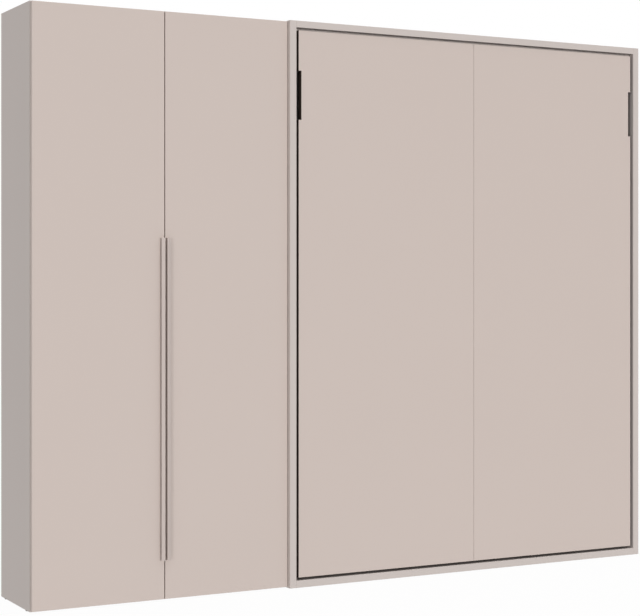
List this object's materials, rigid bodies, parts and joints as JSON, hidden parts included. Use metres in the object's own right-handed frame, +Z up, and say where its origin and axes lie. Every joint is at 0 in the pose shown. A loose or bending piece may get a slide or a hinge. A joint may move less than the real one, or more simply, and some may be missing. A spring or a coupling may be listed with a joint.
{
  "type": "wall bed",
  "caption": "Vertical fold-down wall bed in a board cabinet, joined to a slim hinged-door wardrobe, with gas struts, slats, mattress and folding legs.",
  "frame": {"origin": "on the floor, in the middle of the overall width and depth, with everything closed", "axes": "+X to the right along the front, +Y towards the wall, +Z up; the fronts face -Y"},
  "size_m": [2.73, 0.378, 2.2],
  "materials": {
    "cabinet_board": "matt melamine-faced board, warm greige",
    "front_board": "matt lacquered board, warm greige",
    "back_board": "thin fibreboard, greige paper face",
    "handle_paint": "powder coat in the colour of the doors",
    "frame_paint": "anthracite powder coat",
    "zinc_steel": "zinc-plated steel",
    "bush_brass": "plain bearing metal",
    "strut_paint": "black gloss",
    "strut_chrome": "hard chrome",
    "rail_metal": "satin chrome",
    "slat_wood": "laminated beech",
    "dark_plastic": "moulded",
    "joiner_plastic": "extruded",
    "rubber_parts": "moulded",
    "mattress_cover": "quilted knit, off-white",
    "strap_webbing": "woven webbing"
  },
  "bodies": {
    "cabinet": {"back_panel_joiner": "joiner_plastic", "bed_cabinet_back_panels": "back_board", "bed_cabinet_bottom": "cabinet_board", "bed_cabinet_left_side": "cabinet_board", "bed_cabinet_right_side": "cabinet_board", "bed_cabinet_top": "cabinet_board", "bed_pivot_bushes": "bush_brass", "bed_pivot_plates": "zinc_steel", "cabinet_joining_bolts": "zinc_steel", "closing_buffers": "rubber_parts", "floor_glides": "dark_plastic", "hanging_rail": "rail_metal", "hanging_rail_brackets": "rail_metal", "hinge_arms": "zinc_steel", "shelf_pins": "zinc_steel", "strut_anchor_pins": "zinc_steel", "top_stop_rail": "cabinet_board", "wall_rails": "cabinet_board", "wardrobe_back": "back_board", "wardrobe_bottom": "cabinet_board", "wardrobe_divider": "cabinet_board", "wardrobe_left_side": "cabinet_board", "wardrobe_right_side": "cabinet_board", "wardrobe_shelves": "cabinet_board", "wardrobe_top": "cabinet_board"},
    "bed": {"left_front_panel": "front_board", "right_front_panel": "front_board", "bed_frame_side_tubes": "frame_paint", "bed_frame_head_and_foot_tubes": "frame_paint", "bed_frame_centre_tube": "frame_paint", "bed_frame_cross_tubes": "frame_paint", "bed_frame_end_caps": "dark_plastic", "bed_arms": "frame_paint", "bed_pivot_pins": "zinc_steel", "strut_lower_pins": "zinc_steel", "front_panel_angles": "zinc_steel", "slats": "slat_wood", "slat_holders": "dark_plastic", "mattress": "mattress_cover", "mattress_end_board": "cabinet_board", "mattress_end_brackets": "frame_paint", "mattress_straps": "strap_webbing", "mattress_foot_hoop": "frame_paint", "leg_brackets": "frame_paint", "leg_pivot_bolts": "zinc_steel"},
    "left_door": {"left_door_panel": "front_board", "left_door_handle": "handle_paint", "left_hinge_cups": "zinc_steel"},
    "right_door": {"right_door_panel": "front_board", "right_door_handle": "handle_paint", "right_hinge_cups": "zinc_steel"},
    "left_leg": {"left_leg": "frame_paint", "left_leg_shoe": "rubber_parts"},
    "right_leg": {"right_leg": "frame_paint", "right_leg_shoe": "rubber_parts"},
    "left_strut_tube": {"left_strut_tube": "strut_paint"},
    "right_strut_tube": {"right_strut_tube": "strut_paint"},
    "left_strut_rod": {"left_strut_rod": "strut_chrome"},
    "right_strut_rod": {"right_strut_rod": "strut_chrome"}
  },
  "joints": [
    {"name": "bed_fold", "type": "hinge", "parent": "cabinet", "child": "bed", "pos_m": [0.515, -0.124, 0.301], "axis": [1, 0, 0], "range_deg": [0, 90], "stiffness_Nm_per_rad": 249, "springref_deg": -27.39},
    {"name": "left_door_swing", "type": "hinge", "parent": "cabinet", "child": "left_door", "pos_m": [-1.357, -0.167, 1.1], "axis": [0, 0, -1], "range_deg": [0, 110]},
    {"name": "right_door_swing", "type": "hinge", "parent": "cabinet", "child": "right_door", "pos_m": [-0.343, -0.167, 1.1], "axis": [0, 0, 1], "range_deg": [0, 90]},
    {"name": "left_leg_swing", "type": "hinge", "parent": "bed", "child": "left_leg", "pos_m": [-0.2995, -0.124, 2.124], "axis": [-1, 0, 0], "range_deg": [0, 90]},
    {"name": "left_strut_tube_swing", "type": "hinge", "parent": "cabinet", "child": "left_strut_tube", "pos_m": [-0.286, -0.06447, 0.52316], "axis": [1, 0, 0], "range_deg": [0, 45]},
    {"name": "left_strut_rod_swing", "type": "hinge", "parent": "bed", "child": "left_strut_rod", "pos_m": [-0.286, -0.09597, 0.07271], "axis": [1, 0, 0], "range_deg": [-45, 0]},
    {"name": "right_leg_swing", "type": "hinge", "parent": "bed", "child": "right_leg", "pos_m": [1.3295, -0.124, 2.124], "axis": [-1, 0, 0], "range_deg": [0, 90]},
    {"name": "right_strut_tube_swing", "type": "hinge", "parent": "cabinet", "child": "right_strut_tube", "pos_m": [1.316, -0.06447, 0.52316], "axis": [1, 0, 0], "range_deg": [0, 45]},
    {"name": "right_strut_rod_swing", "type": "hinge", "parent": "bed", "child": "right_strut_rod", "pos_m": [1.316, -0.09597, 0.07271], "axis": [1, 0, 0], "range_deg": [-45, 0]}
  ],
  "couplings": [
    {"joint": "left_strut_tube_swing", "follows": "bed_fold", "ratio": 0.5},
    {"joint": "left_strut_rod_swing", "follows": "bed_fold", "ratio": -0.5},
    {"joint": "right_strut_tube_swing", "follows": "bed_fold", "ratio": 0.5},
    {"joint": "right_strut_rod_swing", "follows": "bed_fold", "ratio": -0.5}
  ]
}
